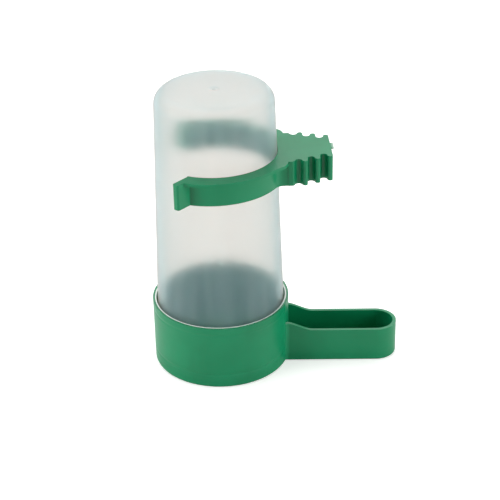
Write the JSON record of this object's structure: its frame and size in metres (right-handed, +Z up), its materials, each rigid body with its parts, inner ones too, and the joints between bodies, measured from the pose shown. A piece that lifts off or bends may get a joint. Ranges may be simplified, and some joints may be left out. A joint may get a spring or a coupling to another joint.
{
  "type": "bird cage waterer",
  "caption": "Frosted bottle standing upside down in a round cup with a long drinking trough, held by a ring clip whose notched tail grips cage wires.",
  "frame": {"origin": "on the cup's axis, at the level of the flat underside", "axes": "+Z up along the bottle, +X along the drinking trough, +Y to the back as the picture shows it"},
  "size_m": [0.072, 0.0442, 0.085],
  "materials": {
    "green_plastic": "injection moulded polypropylene, satin gloss, mid green",
    "frosted_plastic": "thin blow moulded polypropylene, milky and translucent, satin"
  },
  "bodies": {
    "base": {"base": "green_plastic"},
    "bottle": {"bottle": "frosted_plastic"},
    "clip": {"clip": "green_plastic"}
  },
  "joints": [
    {"name": "bottle_lift", "type": "slide", "parent": "base", "child": "bottle", "axis": [0, 0, 1], "range_m": [0, 0.02]},
    {"name": "clip_swivel", "type": "hinge", "parent": "bottle", "child": "clip", "pos_m": [0, 0, 0.06283], "axis": [0, 0, 1], "continuous": true}
  ]
}
